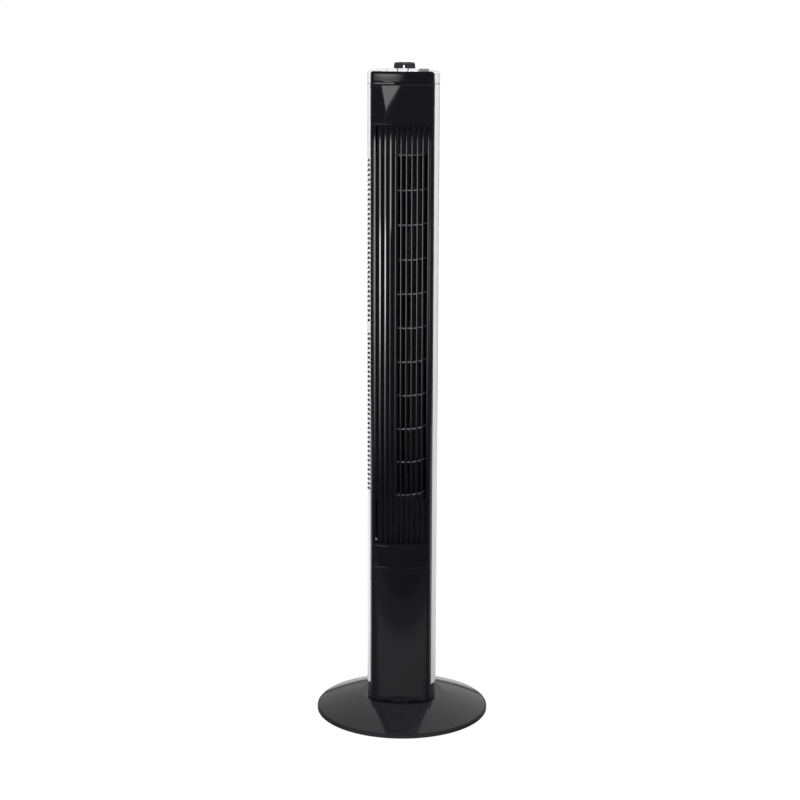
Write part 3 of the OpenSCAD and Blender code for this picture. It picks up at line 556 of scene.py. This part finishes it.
def cap_mesh():
    """Deck with its key opening and shaft hole, and the wall below it."""
    inner = TRIM_R - FRONT_WALL - GAP
    side = TRIM_X + inner
    left = arc(-TRIM_X, TRIM_Y, inner, 180, 270 - FRONT_ANGLE, 8)
    mid = arc(0, FRONT_CY, FRONT_R - FRONT_WALL - GAP, 270 - FRONT_ANGLE, 270 + FRONT_ANGLE, 1.5)
    front = joined([(-side, HOUSING_FRONT)], left, mid, [(-x, y) for x, y in reversed(left)],
                   [(side, HOUSING_FRONT)])
    key_x, key_y = 2.5 * KEY_PITCH + KEY_SIDE_GAP, KEY_LEN / 2 + KEY_END_GAP
    holes = [[(-key_x, KEY_Y - key_y), (key_x, KEY_Y - key_y),
              (key_x, KEY_Y + key_y), (-key_x, KEY_Y + key_y)],
             arc(0, KNOB_Y, SHAFT_HOLE_R, 0, 345, 15)]
    turn = [math.radians(90 * k / 5) for k in range(6)]
    rows = [(CAP, 0.0)]
    rows += [(DECK - DECK_EDGE_R * (1 - math.sin(a)), DECK_EDGE_R * (1 - math.cos(a))) for a in turn]
    skin = [[(x, y, z) for x, y in column_outline(inset)] for z, inset in rows]
    wall = [(x, y) for x, y, z in skin[-1]]
    bm = bmesh.new()
    loops = []
    for path in [wall + front] + holes:
        vs = [bm.verts.new((x, y, DECK)) for x, y in path]
        loops.append(vs)
        for a, b in zip(vs, vs[1:] + vs[:1]):
            bm.edges.new((a, b))
    bmesh.ops.triangle_fill(bm, edges=bm.edges[:], use_beauty=True, use_dissolve=False,
                            normal=(0, 0, 1))
    above = loops[0][:len(wall)]
    for row in reversed(skin[:-1]):
        below = [bm.verts.new(p) for p in row]
        for k in range(len(wall) - 1):
            bm.faces.new((below[k], below[k + 1], above[k + 1], above[k]))
        above = below
    bmesh.ops.recalc_face_normals(bm, faces=bm.faces[:])
    verts = [tuple(v.co) for v in bm.verts]
    bm.verts.index_update()
    faces = [tuple(v.index for v in f.verts) for f in bm.faces]
    if sum(f.normal.z * f.calc_area() for f in bm.faces) < 0:
        faces = [tuple(reversed(f)) for f in faces]
    bm.free()
    return verts, faces


cap = new_piece("top_cap_skin", *cap_mesh(), "silver_paint", "tower", ["top_cap"])
solidify(cap, 2.5)
bevel(cap, 0.5, 3, 50)
weighted(cap)

# ------------------------------------------------------------------ round base
RIM_R, DOME_EDGE, DOME_R, APEX = 155.0, 152.2, 410.0, 38.5
SEAT_R, SEAT_Z, DOME_WALL = 60.0, 30.0, 2.8
SEAT_IN, RECESS_R, RECESS_Z = 46.0, 73.0, 31.4
LIP_R = SEAT_R + 4
RAMP_BACK_Y, RAMP_BACK_Z = 64.0, 30.2
RAMP_FOOT_Y, RAMP_FOOT_Z = DOME_EDGE - 3.5, 8.5
RAMP = [(63.0, 0.0), (16.5, -RAMP_FOOT_Y)]
RAMP_SLOPE = (RAMP_BACK_Z - RAMP_FOOT_Z) / (RAMP_FOOT_Y - RAMP_BACK_Y)
# The rim from its groove over the edge and back under, as (radius, height)
RIM = [(152.4, 7.5), (152.9, 7.5), (153.3, 8.2), (153.9, 8.4), (154.65, 8.05), (RIM_R, 7.3),
       (RIM_R, 2.6), (154.4, 2), (149.6, 2)]
UNDER_R, UNDER_WALL, RING_Z = 149.0, 2.5, 27.0


def dome(r, inset=0.0):
    return APEX - DOME_R + math.sqrt((DOME_R - inset) ** 2 - r * r)


def ramp_floor(y, drop=0.0):
    return RAMP_BACK_Z + RAMP_SLOPE * (y + RAMP_BACK_Y) - drop


def ramp_reach(theta):
    """How far out the sunk run reaches along a ray at this angle, in degrees below the X axis."""
    a = math.radians(theta)
    ux, uy = abs(math.cos(a)), math.sin(a)
    (ax, ay), (bx, by) = RAMP
    dx, dy = bx - ax, by - ay
    side = (ax * dy - ay * dx) / (ux * dy + uy * dx)
    foot = RAMP_FOOT_Y / uy if uy > 0.01 else 1e9
    return min(side, foot)


def skin(r):
    """Upper surface of the base, with the level floor round the seat."""
    return min(dome(r), RECESS_Z) if r <= RECESS_R else dome(r)


def steps(start, stop, n):
    return [start + (stop - start) * k / n for k in range(n + 1)]


def base_section(theta, ramp):
    """Section of a base half along a ray, as (radius, height) from the seat outward and back below."""
    out = max(ramp_reach(-theta), LIP_R) if ramp else LIP_R
    ahead = math.sin(math.radians(theta))

    def sunk(r, drop=0.0):
        high = dome(r, drop) if drop else skin(r)
        return min(high, ramp_floor(r * ahead, drop)) if ramp else high

    rise_r = max(out, RECESS_R)
    ring_r = RECESS_R + 3
    under = min(max(out + UNDER_WALL, ring_r), UNDER_R)
    section = [(SEAT_IN, SEAT_Z), (SEAT_R, SEAT_Z), (SEAT_R, RECESS_Z), (LIP_R, RECESS_Z)]
    section += [(r, sunk(r)) for r in steps(LIP_R, out, 10)]
    section += [(out, skin(out)), (rise_r, skin(rise_r))]
    section += [(r, dome(r)) for r in steps(rise_r, DOME_EDGE, 12)]
    section += RIM
    section.append((UNDER_R + 0.4, dome(UNDER_R + 0.4, DOME_WALL)))
    section += [(r, dome(r, DOME_WALL)) for r in steps(UNDER_R, under, 4)]
    section += [(r, sunk(r, DOME_WALL)) for r in steps(under, ring_r, 4)]
    return section + [(ring_r, RING_Z), (SEAT_IN, RING_Z)]


def half_base(name, node, start, stop, ramp):
    """One moulded half, revolved from start to stop degrees, with or without the sunk run."""
    corner = math.degrees(math.atan2(RAMP_FOOT_Y, RAMP[1][0]))
    angles = set(steps(start, stop, 120))
    if ramp:
        angles |= {-corner, corner - 180}
    rings = [[(r * math.cos(math.radians(theta)), r * math.sin(math.radians(theta)), z)
              for r, z in base_section(theta, ramp)] for theta in sorted(angles)]
    w = len(rings[0])
    verts = [p for ring in rings for p in ring]
    faces = [(a * w + i, a * w + (i + 1) % w, (a + 1) * w + (i + 1) % w, (a + 1) * w + i)
             for a in range(len(rings) - 1) for i in range(w)]
    faces += [tuple(range(w)), tuple(reversed(range((len(rings) - 1) * w, len(rings) * w)))]
    obj = new_piece(name, verts, faces, "base_gloss", "base", [node])
    bm = bmesh.new()
    bm.from_mesh(obj.data)
    bmesh.ops.remove_doubles(bm, verts=bm.verts[:], dist=0.02 * MM)
    bmesh.ops.recalc_face_normals(bm, faces=bm.faces[:])
    for f in bm.faces:
        f.smooth = True
    bm.to_mesh(obj.data)
    bm.free()
    bevel(obj, 0.5, 3, 35)
    weighted(obj)


SEAM = 0.04
half_base("base_front_skin", "base_front", -180 + SEAM, -SEAM, True)
half_base("base_rear_skin", "base_rear", SEAM, 180 - SEAM, False)


# Bosses under the base: ring radius, count, first angle, outer and inner radius, foot and top
BOSSES = {"foot": (136, 6, 30, 9, 3, 3.5, 11.5),
          "ballast_screw": (100, 6, 30, 6, 1.9, 11, 21.5),
          "plate_screw": (51.5, 4, 45, 5, 1.9, 19, 27.5)}


def tube(bm, at, r_out, r_in, z0, z1, n=40):
    rings = [[bm.verts.new(((at[0] + r * math.cos(2 * math.pi * k / n)) * MM,
                            (at[1] + r * math.sin(2 * math.pi * k / n)) * MM, z * MM)) for k in range(n)]
             for r, z in ((r_in, z0), (r_out, z0), (r_out, z1), (r_in, z1))]
    for a, b in zip(rings, rings[1:] + rings[:1]):
        for k in range(n):
            bm.faces.new((a[k], a[(k + 1) % n], b[(k + 1) % n], b[k]))


bm = bmesh.new()
for ring_r, count, first, *size in BOSSES.values():
    for k in range(count):
        a = math.radians(first + 360 / count * k)
        tube(bm, (ring_r * math.cos(a), ring_r * math.sin(a)), *size)
boss_mesh = bpy.data.meshes.new("base_bosses")
bm.to_mesh(boss_mesh)
bm.free()
boss_mesh.materials.append(MATS["base_gloss"])
bosses = bpy.data.objects.new("base_bosses", boss_mesh)
scene.collection.objects.link(bosses)
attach(bosses, "base")
bevel(bosses, 0.3, 2)

# ------------------------------------------------------------------ return springs under the keys
SPRING_R, SPRING_TURNS, WIRE_R = 4.6, 6, 0.4
SPRING_LOW, SPRING_HIGH = DECK - 29.5, DECK - 11.5
SPRING_END, KEY_TRAVEL = 0.08, 4.0


def coil(x0):
    """A wound wire with flattened end turns."""
    verts, faces = [], []
    steps, sides = SPRING_TURNS * 40, 10
    for k in range(steps + 1):
        t = k / steps
        a = 2 * math.pi * SPRING_TURNS * t
        lift = min(max((t - SPRING_END) / (1 - 2 * SPRING_END), 0.0), 1.0)
        start = 2 * WIRE_R * min(t / SPRING_END, 1) * (1 - lift)
        z = min(SPRING_LOW + (SPRING_HIGH - SPRING_LOW) * lift + start, SPRING_HIGH)
        for j in range(sides):
            b = 2 * math.pi * j / sides
            r = SPRING_R + WIRE_R * math.cos(b)
            verts.append((x0 + r * math.cos(a), KEY_Y + r * math.sin(a), z + WIRE_R * math.sin(b)))
    for k in range(steps):
        for j in range(sides):
            p, q = k * sides + j, k * sides + (j + 1) % sides
            faces.append((p, q, q + sides, p + sides))
    faces += [tuple(reversed(range(sides))), tuple(range(steps * sides, (steps + 1) * sides))]
    return verts, faces


KEYS = {"low": 0, "medium": 1, "high": 2, "off": 3, "swing": 4}
for key, place in KEYS.items():
    node = "key_spring_" + key
    spring = new_piece(node + "_coil", *coil((place - 2) * KEY_PITCH), "spring_wire", body_of[node], [node])
    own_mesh(spring)

# ------------------------------------------------------------------ CAD pieces that are shown as they are
EDGES = {"timer_knob": 0.35, "knob_pointer": 0.1, "wiring": 0.0, "impeller": 0.12, "motor_windings": 0.8,
         "key_off": 0.7, "key_low": 0.7, "key_medium": 0.7, "key_high": 0.7, "key_swing": 0.7}
for name, obj in nodes.items():
    if obj.hide_render:
        continue
    obj.data.materials.clear()
    obj.data.materials.append(MATS[slot_of[name]])
    weld = obj.modifiers.new("weld", "WELD")
    weld.merge_threshold = 0.00001
    width = EDGES.get(name, 0.3)
    if width:
        bevel(obj, width, 3 if width > 0.5 else 2, 35)
    weighted(obj)

# ------------------------------------------------------------------ stage and light
scene.view_settings.view_transform = "Standard"

bpy.ops.mesh.primitive_plane_add(size=1, location=(0, 19.25, 0))
floor = bpy.context.object
floor.name = "floor"
floor.scale = (60, 40, 1)
pale = Shader("pale_floor", (0.03, 0.03, 0.03), 0.8, Emission_Color=(1, 1, 1, 1))
pale.bump(pale.noise(40, 3), 0.02, 0.001)
# The floor shows blown out to white. What it gives back to reflections is softer: a little from a
# wedge close in front, and more from behind
spot = pale.node("ShaderNodeNewGeometry").outputs["Position"]
split = pale.node("ShaderNodeSeparateXYZ")
pale.link(spot, split.inputs[0])
reach = pale.node("ShaderNodeVectorMath", operation="LENGTH")
pale.link(spot, reach.inputs[0])
wedge = pale.math("MULTIPLY_ADD", split.outputs["Y"], 0.95, pale.math("ABSOLUTE", split.outputs["X"]))
across = pale.spread(wedge, 1, 0, -0.06, 0.02, "SMOOTHSTEP")
near = pale.spread(split.outputs["Y"], 0, 0.27, -0.62, -0.42, "SMOOTHSTEP")
close = pale.spread(reach.outputs["Value"], 0.8, 0, 1.5, 3.0, "SMOOTHSTEP")
rear = pale.spread(split.outputs["Y"], 0, 1, 0, 0.25, "SMOOTHSTEP")
glow = pale.math("MULTIPLY_ADD", close, rear, pale.math("MULTIPLY_ADD", across, near, 0.04))
to_camera = pale.node("ShaderNodeLightPath").outputs["Is Camera Ray"]
pale.link(pale.math("MAXIMUM", to_camera, glow), pale.bsdf.inputs["Emission Strength"])
floor.data.materials.append(pale.mat)


class Sky:
    """Studio surroundings by direction, in degrees: azimuth 0 is in front of the fan, positive towards +X."""

    def __init__(self):
        self.world = bpy.data.worlds.new("studio")
        self.world.use_nodes = True
        self.tree = self.world.node_tree
        split = self.tree.nodes.new("ShaderNodeSeparateXYZ")
        place = self.tree.nodes.new("ShaderNodeTexCoord")
        self.tree.links.new(place.outputs["Generated"], split.inputs[0])
        self.across = split.outputs["X"]
        self.azimuth = self.math("ARCTAN2", split.outputs["X"], self.math("MULTIPLY", split.outputs["Y"], -1))
        self.azimuth = self.math("MULTIPLY", self.azimuth, 180 / math.pi)
        self.elevation = self.math("MULTIPLY", self.math("ARCSINE", split.outputs["Z"], 0), 180 / math.pi)
        self.total = None

    def math(self, kind, a, b):
        n = self.tree.nodes.new("ShaderNodeMath")
        n.operation = kind
        for k, v in enumerate((a, b)):
            if isinstance(v, (int, float)):
                n.inputs[k].default_value = v
            else:
                self.tree.links.new(v, n.inputs[k])
        return n.outputs[0]

    def rise(self, value, start, stop):
        """0 on the start's side, 1 on the stop's side, smooth between."""
        n = self.tree.nodes.new("ShaderNodeMapRange")
        n.interpolation_type = "SMOOTHSTEP"
        n.inputs["From Min"].default_value = min(start, stop)
        n.inputs["From Max"].default_value = max(start, stop)
        n.inputs["To Min"].default_value = 0 if start < stop else 1
        n.inputs["To Max"].default_value = 1 if start < stop else 0
        self.tree.links.new(value, n.inputs["Value"])
        return n.outputs["Result"]

    def window(self, value, low, high, soft):
        up = self.rise(value, low - soft / 2, low + soft / 2)
        return self.math("MULTIPLY", up, self.rise(value, high + soft / 2, high - soft / 2))

    def patch(self, az, el, radiance, az_soft=3.0, el_soft=1.0):
        both = self.math("MULTIPLY", self.window(self.azimuth, *az, az_soft),
                         self.window(self.elevation, *el, el_soft))
        self.add(self.math("MULTIPLY", both, radiance))

    def add(self, value):
        self.total = value if self.total is None else self.math("ADD", self.total, value)


sky = Sky()
turned = sky.math("ABSOLUTE", sky.azimuth, 0)
behind = sky.math("MULTIPLY", sky.rise(turned, 118, 150), sky.rise(sky.elevation, 0, 8))
above = sky.rise(sky.elevation, 30, 52)
sides = sky.math("ADD", sky.math("MULTIPLY", sky.across, 0.35), 0.53)
sky.add(sky.math("ADD", sky.math("MULTIPLY", sky.math("MAXIMUM", behind, above), sides), 0.02))
# Upright soft box on the left, strongest a little above its middle
below = sky.rise(sky.elevation, -5.0, -5.3)
fall = sky.math("MULTIPLY", below, sky.rise(sky.elevation, -15.5, -8.5))
wide = sky.math("MULTIPLY", fall, sky.window(sky.azimuth, -51, -24.5, 2))
sky.add(sky.math("MULTIPLY", wide, 6))
core = sky.math("MULTIPLY", sky.rise(sky.elevation, -7.2, -8.2), sky.rise(sky.elevation, -12.2, -8.8))
core = sky.math("MULTIPLY", core, sky.window(sky.azimuth, -47, -25.5, 0.8))
sky.add(sky.math("MULTIPLY", core, 15))
sky.patch((-24.5, -16), (-7.8, -5.15), 7, 2, 0.4)
# Ceiling edge that the top of the front mirrors
sky.patch((-48, -8), (-3.55, -2.7), 1.3, 24, 0.06)
sky.patch((-46, -10), (-3.38, -2.9), 2.0, 24, 0.1)
# A pointed gleam that hangs from it
lean = sky.math("ADD", sky.azimuth, 29)
left_side, right_side = sky.math("MULTIPLY", lean, -0.096), sky.math("MULTIPLY", lean, 0.0316)
droop = sky.math("SUBTRACT", sky.math("MAXIMUM", left_side, right_side), 4.32)
gleam = sky.rise(sky.math("SUBTRACT", sky.elevation, droop), -0.05, 0.05)
gleam = sky.math("MULTIPLY", gleam, sky.rise(sky.elevation, -3.56, -3.6))
gleam = sky.math("MULTIPLY", gleam, sky.window(sky.azimuth, -42, -5, 6))
sky.add(sky.math("MULTIPLY", gleam, 3.3))

# The background shows plain white, and only reflections meet the pattern above
to_camera = sky.tree.nodes.new("ShaderNodeLightPath").outputs["Is Camera Ray"]
pattern = sky.math("MULTIPLY", sky.total, sky.math("SUBTRACT", 1, to_camera))
level = sky.math("ADD", pattern, to_camera)
sky.tree.links.new(level, sky.tree.nodes["Background"].inputs["Strength"])
sky.tree.nodes["Background"].inputs["Color"].default_value = (1, 1, 1, 1)
scene.world = sky.world


def area(name, where, target, size, power):
    """A soft panel that lights matt surfaces and isn't mirrored in glossy ones."""
    light = bpy.data.lights.new(name, "AREA")
    light.shape = "RECTANGLE"
    light.size, light.size_y = size
    light.energy = power
    o = bpy.data.objects.new(name, light)
    o.visible_glossy = False
    scene.collection.objects.link(o)
    o.location = where
    o.rotation_euler = (Vector(target) - Vector(where)).to_track_quat("-Z", "Y").to_euler()


area("panel_left", (-2.4, -1.2, 1.2), (0, 0, 0.6), (1.4, 2.4), 95)
area("panel_right", (1.5, -0.6, 1.5), (0, 0, 0.9), (0.8, 0.9), 32)
area("panel_front", (0.6, -3.2, 1.3), (0, 0, 0.8), (1.0, 1.8), 50)
area("panel_top", (0, 0.2, 3.2), (0, 0, 0.6), (2.0, 2.0), 40)
area("panel_back", (0, 2.6, 1.4), (0, 0, 0.6), (2.4, 2.4), 60)
